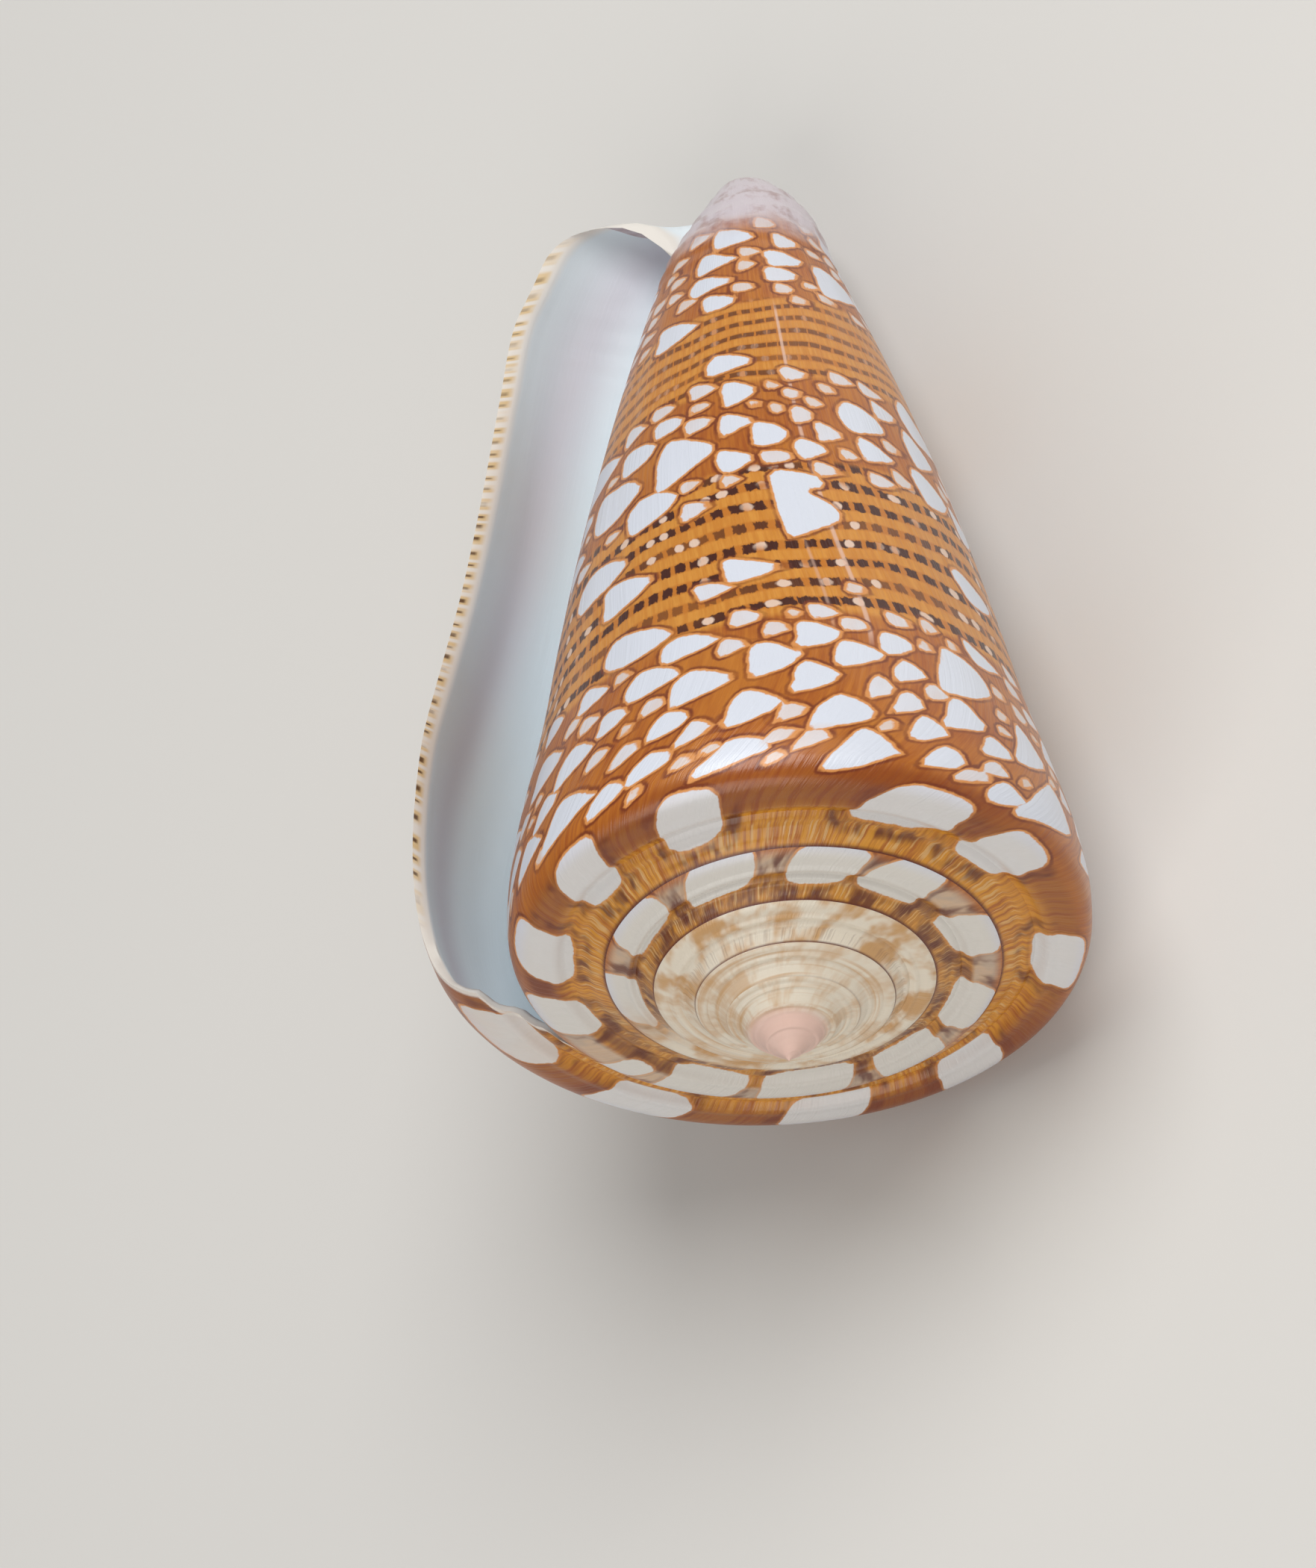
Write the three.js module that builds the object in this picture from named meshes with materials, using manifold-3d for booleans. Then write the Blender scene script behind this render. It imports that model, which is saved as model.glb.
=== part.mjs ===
// A cone shell, grown as one piece and lying on its side.
// Millimetres. The shell is worked out upright, with its apex at the origin and its front tip straight
// below, and is laid down at the end.
//
// A place on the shell is told by its turn, counted back from the lip: 0 is the lip, 1 is one whole turn
// older. Each growth line, from the suture over the shoulder and down the wall to the front, was the lip
// once.
import * as THREE from "three";
import { mergeVertices } from "three/addons/utils/BufferGeometryUtils.js";
import Module from "manifold-3d";

const wasm = await Module();
wasm.setup();

// Driving dimensions.
const shellLength = 49.5; // apex to front tip, along the axis
const shoulderRadius = 13; // from the axis to the shoulder, a third of a turn behind the lip
const turns = 7;
const nucleusHeight = 1.2; // the first whorl is a smooth cone
const shoulderRound = 1.2;
const sutureStep = 0.035; // how far a whorl sits below the one before it, as a share of its radius
const rampSag = 0.025; // how far a ramp is hollowed, as a share of its radius
const wallThickness = 1.4;
const lipThickness = 0.7;
const lipTaper = 0.08; // turns over which the lip thins to its edge
const flareLength = 0.45; // turns over which the wall swings out to the lip
const mouthDepth = 1; // turns that the hollow runs in behind the lip
const mouthOverrun = 0.06;
const frontOverrun = 0.3;
const notchLength = 0.11; // turns over which the hollow is open at the front
const hollowEnd = 0.8; // how far down the wall the hollow reaches at its inner end
const frontRise = 2.3; // how far the front of the lip ends short of the tip
const frontRiseLength = 0.35;
const stepAngle = 12; // degrees between growth lines
// Behind the lip the growth lines straighten, so that the facets are flat.
const straightFrom = 0.1;
const straightLength = 0.3;
const straightLean = 12;
const wedgeSteps = 12;
const overlapSteps = 3;
const rampSteps = 3;
const roundSteps = 2;
const fineTurns = 1.2; // the whorls older than this only show their ramps

// Lying down: the spire is tipped up until the wall rests along its length, then the shell is rolled.
const lieTilt = 77.5;
const lieRoll = -37;

const glazeColour = 0xb8682c;
const glazeRoughness = 0.2;

const { lerp, clamp, degToRad } = THREE.MathUtils;

// Shoulder radius, as a share of shoulderRadius, against the turn.
const shoulderGrowth = [
  [0, 1.09], [0.12, 1.06], [0.25, 1.022], [0.5, 0.96], [0.75, 0.91], [1, 0.842],
  [2, 0.57], [3, 0.418], [4, 0.287], [5, 0.19], [6, 0.125], [7, 0.07], [8, 0.02],
];

// Drop of the shoulder below the apex, against the turn.
const shoulderDrop = [
  [0, 5.9], [0.5, 5.24], [1, 4.86], [2, 4.19], [3, 3.32], [4, 2.6], [5, 1.95], [6, 1.3], [7, 0.7], [8, 0.1],
];

// Wall radius, as a share of the shoulder's, against the share of the way down.
const wallProfile = [
  [0, 1], [0.04, 1.02], [0.09, 1.01], [0.15, 0.97], [0.25, 0.885], [0.35, 0.814], [0.5, 0.6975],
  [0.65, 0.559], [0.8, 0.398], [0.9, 0.28], [0.96, 0.19], [0.985, 0.12], [1, 0.04],
];

// Radius of the lip's edge, against the share of the way down.
const lipProfile = [
  [0, 14.2], [0.05, 14.9], [0.12, 15.1], [0.22, 14.8], [0.32, 14.1], [0.45, 13.1], [0.6, 12.1],
  [0.75, 11.2], [0.86, 10.5], [0.93, 9.3], [0.98, 7.4], [1, 6],
];

// How far a growth line leans back, in degrees, against the share of the way down.
const growthLean = [
  [0, 12], [0.04, 3], [0.1, -5], [0.2, -9], [0.35, -4], [0.5, 0], [0.75, 2], [1, 4],
];
const sutureLean = 38;
const shoulderLean = growthLean[0][1];

// A smooth curve through a table of [x, y] rows.
function along(table, x) {
  const last = table.length - 1;
  const found = table.findIndex((row) => row[0] > x);
  const i = found < 0 ? last - 1 : Math.max(found - 1, 0);
  const slope = (a, b) => (table[b][1] - table[a][1]) / (table[b][0] - table[a][0]);
  const width = table[i + 1][0] - table[i][0];
  const f = clamp((x - table[i][0]) / width, 0, 1);
  const startSlope = slope(Math.max(i - 1, 0), i + 1) * width;
  const endSlope = slope(i, Math.min(i + 2, last)) * width;
  const rise = table[i + 1][1] - table[i][1];
  const bend = f * (1 - f) * ((1 - f) * (startSlope - rise) - f * (endSlope - rise));
  return table[i][1] + rise * f + bend;
}

function shoulderAt(turn) {
  return new THREE.Vector2(shoulderRadius * along(shoulderGrowth, turn), along(shoulderDrop, turn));
}

function frontDropAt(turn) {
  return shellLength - frontRise * (1 - Math.sqrt(clamp(turn / frontRiseLength, 0, 1)));
}

// A point of the outer wall, share 0 at the shoulder and 1 at the front.
function wallPoint(turn, share) {
  const shoulder = shoulderAt(turn);
  const flare = Math.pow(clamp(1 - turn / flareLength, 0, 1), 2);
  const radius = lerp(shoulder.x * along(wallProfile, share), along(lipProfile, share), flare);
  return new THREE.Vector2(radius, lerp(shoulder.y, frontDropAt(turn), share));
}

// The same point on the inside of the wall, which never takes more than half of the gap to the whorl within.
function innerPoint(turn, share) {
  const outer = wallPoint(turn, share);
  const within = wallPoint(turn + 1, share);
  const thickness = lerp(lipThickness, wallThickness, clamp(turn / lipTaper, 0, 1));
  return outer.lerp(within, Math.min(thickness / outer.distanceTo(within), 0.5));
}

const place = (at, lean) => ({ at, lean });

// Lean of a growth line. Only the youngest ones keep the curve of the lip.
function leanAt(turn, share) {
  return lerp(along(growthLean, share), straightLean, clamp((turn - straightFrom) / straightLength, 0, 1));
}

// Suture, ramp and rounded shoulder, from the whorl before it outwards.
function rampLine(turn) {
  const shoulder = shoulderAt(turn);
  const suture = shoulderAt(turn + 1 + (sutureLean - shoulderLean) / 360);
  suture.y += sutureStep * suture.x;
  const round = Math.min(shoulderRound, 0.45 * (shoulder.x - suture.x));
  const edge = new THREE.Vector2(shoulder.x - round, shoulder.y);
  const line = [];
  for (let i = 0; i <= rampSteps; i++) {
    const f = i / rampSteps;
    const at = suture.clone().lerp(edge, f);
    at.y += rampSag * suture.x * 4 * f * (1 - f);
    line.push(place(at, lerp(sutureLean, shoulderLean, f)));
  }
  const below = wallPoint(turn, shoulderRound / shellLength);
  const corner = new THREE.QuadraticBezierCurve(edge, shoulder, below);
  for (let i = 1; i <= roundSteps; i++) {
    line.push(place(corner.getPoint(i / (roundSteps + 1)), shoulderLean));
  }
  return line;
}

// Everything inside one growth line, back to the axis.
function bodySection(turn, wallShares) {
  const ramp = rampLine(turn);
  const wall = wallShares.map((share) => place(wallPoint(turn, share), leanAt(turn, share)));
  const top = new THREE.Vector2(0, ramp[0].at.y);
  const bottom = new THREE.Vector2(0, wall.at(-1).at.y);
  return [place(top, 0), ...ramp, ...wall, place(bottom, 0)];
}

// The hollow between the last whorl's wall and the whorl within, open at the front only near the lip.
function hollowSection(turn, shares) {
  const end = lerp(1, hollowEnd, clamp((turn - notchLength) / (mouthDepth - notchLength), 0, 1));
  const reached = shares.map((share) => share * end);
  const outer = reached.map((share) => place(innerPoint(turn, share), leanAt(turn, share)));
  const inner = reached.map((share) => place(wallPoint(turn + 1, share), leanAt(turn, share)));
  const overrun = new THREE.Vector2(0, frontOverrun);
  const below = [outer.at(-1), inner.at(-1)].map(({ at, lean }) => place(at.clone().add(overrun), lean));
  return [...outer, ...below, ...inner.reverse()];
}

function inSpace({ at, lean }, turn) {
  const angle = degToRad(180 + 360 * turn + lean);
  return [at.x * Math.cos(angle), at.x * Math.sin(angle), -at.y];
}

// A closed solid through sections taken at rising turns, each with the same number of points.
function loft(turnList, sectionAt) {
  const sections = turnList.map(sectionAt);
  const rings = sections.map((section, i) => section.flatMap((point) => inSpace(point, turnList[i])));
  const positions = rings.flat();
  const size = sections[0].length;
  const last = positions.length / 3 - size;
  const indices = [];
  for (let start = 0; start < last; start += size) {
    for (let j = 0; j < size; j++) {
      const [a, b] = [start + j, start + ((j + 1) % size)];
      indices.push(a, b, b + size, a, b + size, a + size);
    }
  }
  const capOf = (section) => THREE.ShapeUtils.triangulateShape(section.map(({ at }) => at), []);
  for (const [a, b, c] of capOf(sections[0])) {
    indices.push(c, b, a);
  }
  for (const [a, b, c] of capOf(sections.at(-1))) {
    indices.push(last + a, last + b, last + c);
  }
  const geometry = new THREE.BufferGeometry();
  geometry.setAttribute("position", new THREE.Float32BufferAttribute(positions, 3));
  geometry.setIndex(indices);
  return toSolid(geometry);
}

function toSolid(geometry) {
  geometry.deleteAttribute("normal");
  geometry.deleteAttribute("uv");
  const merged = mergeVertices(geometry, 1e-4);
  const triangles = [];
  for (let i = 0; i < merged.index.count; i += 3) {
    const [a, b, c] = [0, 1, 2].map((k) => merged.index.getX(i + k));
    if (a !== b && b !== c && c !== a) {
      triangles.push(a, b, c);
    }
  }
  const mesh = new wasm.Mesh({
    numProp: 3,
    vertProperties: merged.attributes.position.array,
    triVerts: new Uint32Array(triangles),
  });
  return new wasm.Manifold(mesh);
}

function toGeometry(solid) {
  const mesh = solid.getMesh();
  const geometry = new THREE.BufferGeometry();
  geometry.setAttribute("position", new THREE.BufferAttribute(mesh.vertProperties, 3));
  geometry.setIndex(new THREE.BufferAttribute(mesh.triVerts, 1));
  geometry.computeVertexNormals();
  return geometry;
}

// Overlapping skins leave crumbs and pin holes; only the shell itself is kept.
function largestOf(solid) {
  return solid.decompose().reduce((best, piece) => (piece.numTri() > best.numTri() ? piece : best));
}

const range = (from, to, steps) => Array.from({ length: steps + 1 }, (_, i) => lerp(from, to, i / steps));

function growShell() {
  const wallShares = [0.03, 0.06, 0.1, 0.16, ...range(0.24, 0.88, 8), 0.93, 0.965, 0.985, 1];
  const hollowShares = wallShares.slice(1);
  const stubShares = [0.03, 0.1];
  const step = stepAngle / 360;
  const stepCount = Math.round(turns / step);
  let body = null;
  for (let first = 0; first < stepCount; first += wedgeSteps) {
    const shares = first * step < fineTurns ? wallShares : stubShares;
    const last = Math.min(first + wedgeSteps + overlapSteps, stepCount);
    const piece = loft(range(first * step, last * step, last - first), (turn) => bodySection(turn, shares));
    body = body ? body.add(piece) : piece;
  }
  const nucleus = new THREE.ConeGeometry(shoulderAt(turns).x, nucleusHeight, 16);
  nucleus.rotateX(Math.PI / 2);
  nucleus.translate(0, 0, -nucleusHeight / 2);
  const hollowTurns = [-mouthOverrun, ...range(0, mouthDepth, Math.round((mouthDepth * 360) / stepAngle))];
  const hollow = loft(hollowTurns, (turn) => hollowSection(turn, hollowShares));
  return largestOf(body.add(toSolid(nucleus)).subtract(hollow));
}

const glaze = new THREE.MeshStandardMaterial({
  color: glazeColour,
  roughness: glazeRoughness,
  metalness: 0,
});

const shellGeometry = toGeometry(growShell());
shellGeometry.rotateZ(degToRad(lieRoll));
shellGeometry.rotateX(degToRad(lieTilt));
shellGeometry.computeBoundingBox();
const box = shellGeometry.boundingBox;
const centre = box.getCenter(new THREE.Vector3());
shellGeometry.translate(-centre.x, -centre.y, -box.min.z);

const shell = new THREE.Mesh(shellGeometry, glaze);
shell.name = "shell";

const part = new THREE.Group();
part.add(shell);

export default part;
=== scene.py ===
import math

import bmesh
import bpy
import numpy as np
from mathutils import Matrix, Vector


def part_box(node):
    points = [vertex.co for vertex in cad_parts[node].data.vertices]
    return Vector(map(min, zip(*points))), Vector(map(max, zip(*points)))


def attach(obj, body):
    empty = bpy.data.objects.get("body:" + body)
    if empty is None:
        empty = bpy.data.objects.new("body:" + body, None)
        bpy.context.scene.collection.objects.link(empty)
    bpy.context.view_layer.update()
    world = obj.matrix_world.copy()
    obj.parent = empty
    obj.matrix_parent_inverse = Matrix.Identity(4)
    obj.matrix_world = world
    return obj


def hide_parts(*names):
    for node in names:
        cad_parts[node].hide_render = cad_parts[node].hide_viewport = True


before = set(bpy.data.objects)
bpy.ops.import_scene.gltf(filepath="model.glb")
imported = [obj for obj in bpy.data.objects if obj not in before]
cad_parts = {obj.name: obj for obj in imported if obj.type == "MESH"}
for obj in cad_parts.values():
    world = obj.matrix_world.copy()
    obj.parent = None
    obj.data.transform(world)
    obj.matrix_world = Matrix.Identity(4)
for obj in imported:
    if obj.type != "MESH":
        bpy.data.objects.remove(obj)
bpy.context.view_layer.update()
boxLow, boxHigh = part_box("shell")
mm = 0.001

# The shell is worked out upright in millimetres, with its apex at the origin and its front tip below, and
# then laid down. A turn is counted back from the lip, and a share runs down the wall from the shoulder at 0
# to the front at 1. Tables hold (share or turn, value) rows.
coneShell = {
    "length": 49.5,
    "shoulderRadius": 13.0,
    "wallSpan": 45.0,  # millimetres of wall from a share of 0 to 1
    "turns": 8,
    "columnsPerTurn": 240,
    "sutureColumns": 18,  # a ramp's inner edge leans back this many columns: its rows plus half a corner's
    "mouthColumns": 108,  # how far in the hollow behind the lip is drawn
    "rampRows": 14,
    "cornerRows": 8,  # even, because a suture lies half-way round a corner
    "wallRows": 124,
    "cornerRound": 1.2,
    "cornerShare": 0.13,  # most of a whorl's radius that its corner may take
    "cornerArc": 1.65,  # length round a corner, in its own size
    "cornerAbove": 0.75,  # how much of that lies above the shoulder
    "rampSag": 0.03,  # this and the next two are shares of the whorl's radius
    "rimHeight": 0.026,  # raised edge of a ramp
    "grooveDepth": 0.006,  # fine steps across a ramp
    "rimAt": 0.86,  # share of the way out along a ramp
    "rimWidth": 0.11,
    "cordHeight": 0.045,  # spiral cords near the front
    "cordSpacing": 1.25,
    "rippleHeight": 0.022,  # uneven growth, from line to line
    "swellHeight": 0.03,  # and more slowly
    "frontBulge": 0.2,  # the front end is fuller on one side, by this share
    "flareLength": 0.45,  # turns over which the wall swings out to the lip
    "frontRise": 2.3,  # how far the front of the lip ends short of the tip
    "frontRiseLength": 0.35,
    "lipThickness": 0.6,
    "wallThickness": 1.35,
    "thickenTurns": 0.12,  # from the lip's thickness to the wall's
    "closingTurns": 0.14,  # over which the hollow closes at its inner end
    "closingDip": 0.5,  # keeps the closing skin under the ramp
    "lipRound": 0.012,  # turns over which the lip's edge is rounded
    "frontRound": 0.02,  # share of the wall over which its front edge is rounded
    "shoulderLean": 12.0,  # degrees that a growth line leans ahead
    "straighten": 0.85,  # how much of a growth line's lean the colour on a ramp leaves out
    "lieTilt": 77.5,
    "lieRoll": -37.0,
    "shoulderGrowth": [
        (0, 1.09), (0.12, 1.06), (0.25, 1.022), (0.5, 0.96), (0.75, 0.91), (1, 0.842),
        (2, 0.57), (3, 0.418), (4, 0.287), (5, 0.19), (6, 0.125), (7, 0.07), (8, 0.0),
    ],
    "shoulderDrop": [
        (0, 5.9), (0.5, 5.24), (1, 4.86), (2, 4.19), (3, 3.32), (4, 2.6), (5, 1.95), (6, 1.3),
        (7, 0.7), (8, 0.0),
    ],
    "wallProfile": [
        (0, 1), (0.04, 1.02), (0.09, 1.01), (0.15, 0.97), (0.25, 0.885), (0.35, 0.814), (0.5, 0.6975),
        (0.65, 0.559), (0.8, 0.398), (0.9, 0.275), (0.96, 0.155), (0.985, 0.08), (1, 0.0),
    ],
    "lipProfile": [
        (0, 14.2), (0.05, 14.9), (0.12, 15.1), (0.22, 14.8), (0.32, 14.1), (0.45, 13.1), (0.6, 12.1),
        (0.75, 11.2), (0.86, 10.5), (0.92, 9.5), (0.95, 8.6), (0.97, 7.4), (0.985, 5.7), (1, 3.0),
    ],
    # millimetres that the lip reaches forward, which rounds its front end
    "lipReach": [
        (0, 0), (0.88, 0), (0.918, 0.35), (0.943, 1.05), (0.967, 1.2), (0.985, 0.7),
        (0.993, -0.4), (1, -2.5),
    ],
    "growthLean": [
        (0, 12), (0.04, 3), (0.1, -5), (0.2, -9), (0.35, -4), (0.5, 0), (0.75, 2), (1, 4),
    ],
}
columnStep = 1 / coneShell["columnsPerTurn"]


# A smooth curve through a table of (x, y) rows.
def along(table, x):
    rows = np.array(table, float)
    last = len(rows) - 1
    i = np.clip(np.searchsorted(rows[:, 0], x, side="right") - 1, 0, last - 1)

    def slope(a, b):
        return (rows[b, 1] - rows[a, 1]) / (rows[b, 0] - rows[a, 0])

    width = rows[i + 1, 0] - rows[i, 0]
    f = np.clip((x - rows[i, 0]) / width, 0, 1)
    startSlope = slope(np.maximum(i - 1, 0), i + 1) * width
    endSlope = slope(i, np.minimum(i + 2, last)) * width
    rise = rows[i + 1, 1] - rows[i, 1]
    bend = f * (1 - f) * ((1 - f) * (startSlope - rise) - f * (endSlope - rise))
    return rows[i, 1] + rise * f + bend


# From a to b as f goes from 0 to 1.
def mix(a, b, f):
    return a + (b - a) * f


# 0 below low and 1 above high, with a soft step between.
def smoothStep(low, high, x):
    f = np.clip((x - low) / (high - low), 0, 1)
    return f * f * (3 - 2 * f)


# A quarter of a circle, from 0 at 0 to 1 at 1.
def quarterRound(x):
    x = np.clip(x, 0, 1)
    return np.sqrt(1 - (1 - x) ** 2)


# Radius and drop of the shoulder.
def shoulderAt(turn):
    radius = coneShell["shoulderRadius"] * along(coneShell["shoulderGrowth"], turn)
    return radius, along(coneShell["shoulderDrop"], turn)


# Radius, drop and lean of the outer wall.
def wallAt(turn, share):
    turn, share = np.broadcast_arrays(np.asarray(turn, float), np.asarray(share, float))
    shoulder, drop = shoulderAt(turn)
    flare = np.clip(1 - turn / coneShell["flareLength"], 0, 1) ** 2
    wallRadius = shoulder * along(coneShell["wallProfile"], share)
    radius = mix(wallRadius, along(coneShell["lipProfile"], share), flare)
    uneven = coneShell["rippleHeight"] * np.sin(135 * turn + 1.3) * np.sin(41 * turn)
    uneven = uneven + coneShell["swellHeight"] * np.sin(19 * turn + 2 * share)
    radius = radius + uneven * np.clip(share * 12, 0, 1) * np.clip((1 - share) * 8, 0, 1)
    cords = smoothStep(0.76, 0.86, share) * np.clip((1 - share) * 14, 0, 1) * smoothStep(0, 0.1, turn)
    cordAngle = 2 * math.pi * share * coneShell["wallSpan"] / coneShell["cordSpacing"]
    radius = radius + coneShell["cordHeight"] * cords * np.cos(cordAngle)
    rise = coneShell["frontRise"] * (1 - np.sqrt(np.clip(turn / coneShell["frontRiseLength"], 0, 1)))
    front = coneShell["length"] - rise
    bulge = coneShell["frontBulge"] * smoothStep(0.84, 0.97, share) * np.cos(2 * math.pi * (turn - 0.5))
    radius = radius * (1 + bulge * smoothStep(0.2, 0.45, turn))
    reach = flare * along(coneShell["lipReach"], share)
    return radius, mix(drop, front, share) + reach, along(coneShell["growthLean"], share)


def cornerRoundAt(radius):
    return np.minimum(coneShell["cornerRound"], coneShell["cornerShare"] * radius)


# The rounded shoulder, from the ramp at 0 to the wall at 1.
def cornerAt(turn, f):
    radius, drop = shoulderAt(turn)
    size = cornerRoundAt(radius)
    wallRadius, wallDrop, wallLean = wallAt(turn, size / coneShell["length"])
    x = (1 - f) ** 2 * (radius - size) + 2 * f * (1 - f) * radius + f**2 * wallRadius
    y = (1 - f) ** 2 * drop + 2 * f * (1 - f) * drop + f**2 * wallDrop
    return x, y, mix(coneShell["shoulderLean"], wallLean, f)


# The ramp, from the suture on the whorl before it at 0 to the shoulder at 1.
def rampAt(turn, f):
    lag = coneShell["sutureColumns"] * columnStep
    sutureX, sutureY, sutureLean = cornerAt(turn + 1 + lag, 0.5)
    radius, drop = shoulderAt(turn)
    edge = radius - cornerRoundAt(radius)
    sag = coneShell["rampSag"] * radius * 4 * f * (1 - f)
    fromRim = (f - coneShell["rimAt"]) / coneShell["rimWidth"]
    rim = coneShell["rimHeight"] * radius * np.exp(-(fromRim**2)) * (1 - f) * 5
    groove = coneShell["grooveDepth"] * radius * np.sin(np.pi * f) * np.sin(24 * f)
    lean = mix(sutureLean + 360 * lag, coneShell["shoulderLean"], f)
    return mix(sutureX, edge, f), mix(sutureY, drop, f) + sag - rim + groove, lean


# The lip stands at 180 degrees.
def inSpace(radius, drop, lean, turn):
    angle = np.radians(180 + 360 * turn + lean)
    return np.stack([radius * np.cos(angle), radius * np.sin(angle), -drop], -1)


rampShares = np.linspace(0, 1, coneShell["rampRows"] + 1)
cornerShares = np.linspace(0, 1, coneShell["cornerRows"] + 1)[1:]
wallFine = 1 - (1 - np.linspace(0, 1, coneShell["wallRows"] + 1)[1:]) ** 1.15  # closer near the front


# Rows of the wall start under the rounded corner.
def wallSharesAt(turn):
    first = cornerRoundAt(shoulderAt(turn)[0]) / coneShell["length"]
    return first + (1 - first) * wallFine[None, :]


# Each sheet is a grid of growth lines by rows. It holds the places in space, and what the glaze needs to
# know of each point: down is millimetres below the shoulder, and less than 0 on a ramp.
def outerSheet(turns, fullWall):
    t = turns[:, None]
    ramp = rampAt(t, rampShares[None, :])
    corners = cornerShares if fullWall else cornerShares[: coneShell["cornerRows"] // 2]
    corner = cornerAt(t, corners[None, :])
    radius, drop = shoulderAt(t)
    size = cornerRoundAt(radius)
    rampLength = np.hypot(ramp[0][:, -1:] - ramp[0][:, :1], ramp[1][:, -1:] - ramp[1][:, :1])
    cornerTop = -size * coneShell["cornerAbove"]
    down = [cornerTop - (1 - rampShares) * rampLength, cornerTop + corners * size * coneShell["cornerArc"]]
    blocks = [ramp, corner]
    if fullWall:
        shares = wallSharesAt(t)
        blocks.append(wallAt(t, shares))
        down.append(shares * coneShell["wallSpan"])
    parts = []
    for k in range(3):
        parts.append(np.concatenate([np.broadcast_to(block[k], block[0].shape) for block in blocks], 1))
    radius, drop, lean = parts
    rampShare = np.concatenate([rampShares, np.ones(radius.shape[1] - len(rampShares))])
    # colour on a ramp runs more nearly straight in than its growth lines do
    straighter = coneShell["straighten"] * (lean - coneShell["shoulderLean"]) / 360
    straighter = np.where(rampShare[None, :] < 1, straighter, 0)
    return {
        "at": inSpace(radius, drop, lean, t),
        "turn": np.broadcast_to(t, radius.shape),
        "paintTurn": t + straighter,
        "down": np.concatenate(down, 1),
        "radius": radius,
        "rampShare": np.broadcast_to(rampShare, radius.shape),
        "inside": np.zeros(radius.shape),
        "whole": float(fullWall),
    }


# The inside of the last whorl. It meets the outside along the lip and the front, and at its inner end the
# whorl within.
def innerSheet(turns, outer):
    t = turns[:, None]
    thickening = smoothStep(0, coneShell["thickenTurns"], t)
    lip = mix(coneShell["lipThickness"], coneShell["wallThickness"], thickening)
    lip = lip * quarterRound(t / coneShell["lipRound"])
    closing = smoothStep(turns[-1] - coneShell["closingTurns"], turns[-1], t)
    shares = wallSharesAt(t)
    radius, drop, lean = wallAt(t, shares)
    bodyRadius, bodyDrop, _ = wallAt(t + 1, shares)
    gap = np.hypot(bodyRadius - radius, bodyDrop - drop) + 1e-9
    thickness = lip * quarterRound((1 - shares) / coneShell["frontRound"])
    f = mix(np.minimum(thickness / gap, 0.5), 1, closing) * (wallFine < 1)
    wallParts = (mix(radius, bodyRadius, f), mix(drop, bodyDrop, f), lean)
    rampX, rampY, rampLean = rampAt(t, rampShares[None, :])
    cornerX, cornerY, cornerLean = cornerAt(t, cornerShares[None, :])
    x = np.concatenate([rampX, cornerX], 1)
    y = np.concatenate([rampY, cornerY], 1)
    topLean = np.concatenate([rampLean, cornerLean], 1)
    reach = np.linspace(0, 1, x.shape[1])
    settle = smoothStep(0, 0.3, reach)
    first = cornerRoundAt(shoulderAt(t)[0]) / coneShell["length"]
    wallX, wallY, _ = wallAt(t, first)
    withinX, withinY, _ = wallAt(t + 1, first)
    side = lip / (np.hypot(withinX - wallX, withinY - wallY) + 1e-9)
    turnIn = smoothStep(0.55, 1, reach)
    x = x + settle * turnIn * side * (withinX - wallX)
    y = y + settle * lip * (1 - turnIn)
    # at its end it runs back along the suture, and then over the corner of the whorl within
    rows = np.arange(x.shape[1])
    columnsBack = np.maximum(coneShell["sutureColumns"] - rows, 0) * columnStep
    overCorner = 0.5 + np.maximum(rows - coneShell["sutureColumns"], 0) / coneShell["cornerRows"]
    endX, endY, endLean = cornerAt(t + 1 + columnsBack, overCorner)
    x = mix(x, endX, closing)
    dip = coneShell["closingDip"] * np.sin(np.pi * closing) * smoothStep(0, 0.12, reach)
    y = mix(y, endY, closing) + dip
    topLean = mix(topLean, endLean + 360 * columnsBack, closing)
    radius = np.concatenate([x, wallParts[0]], 1)
    drop = np.concatenate([y, wallParts[1]], 1)
    lean = np.concatenate([topLean, wallParts[2]], 1)
    count = len(turns)
    return {
        "at": inSpace(radius, drop, lean, t),
        "turn": np.broadcast_to(t, radius.shape),
        "paintTurn": np.broadcast_to(t, radius.shape),
        "down": outer["down"][:count],
        "radius": outer["radius"][:count],
        "rampShare": outer["rampShare"][:count],
        "inside": np.ones(radius.shape),
        "whole": 1.0,
    }


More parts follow.
